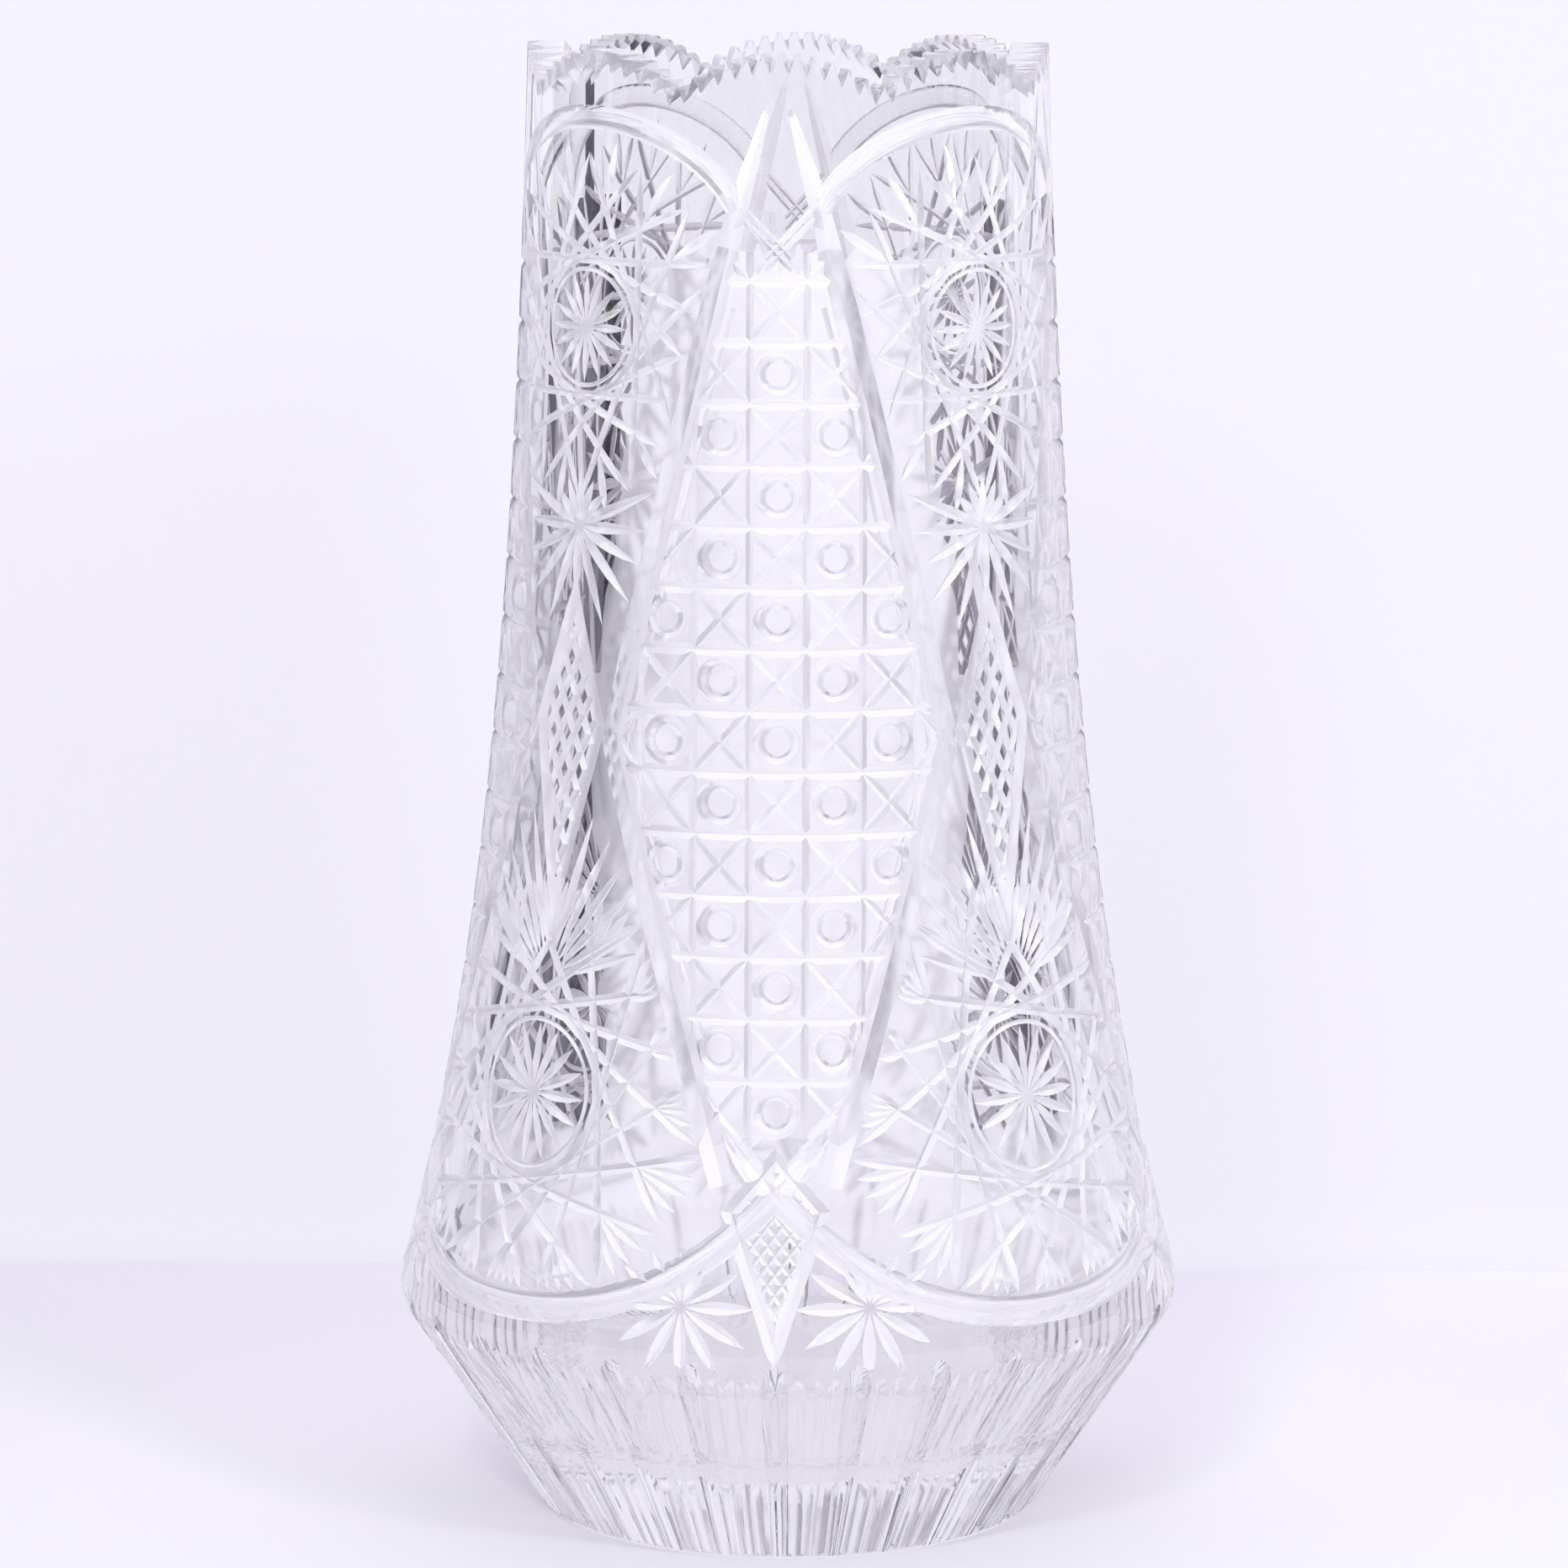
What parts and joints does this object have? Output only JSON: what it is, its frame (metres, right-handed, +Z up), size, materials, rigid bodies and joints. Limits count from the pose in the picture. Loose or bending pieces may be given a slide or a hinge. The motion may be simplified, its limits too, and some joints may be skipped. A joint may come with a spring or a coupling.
{
  "type": "moulded glass vase",
  "caption": "Tall round vase of thick clear glass with a wide low belly, a toothed scalloped rim, cut-style panels of buttons and stars, and a fluted foot.",
  "frame": {"origin": "middle of the resting face, on the surface that the vase stands on", "axes": "+Z up along the axis of the vase, -Y out of the button panel that faces the picture's camera"},
  "size_m": [0.1598, 0.1598, 0.3],
  "materials": {
    "clear_glass": "clear, fire-polished, smooth inside and cut outside"
  },
  "bodies": {
    "root": {"vase": "clear_glass"}
  },
  "joints": []
}
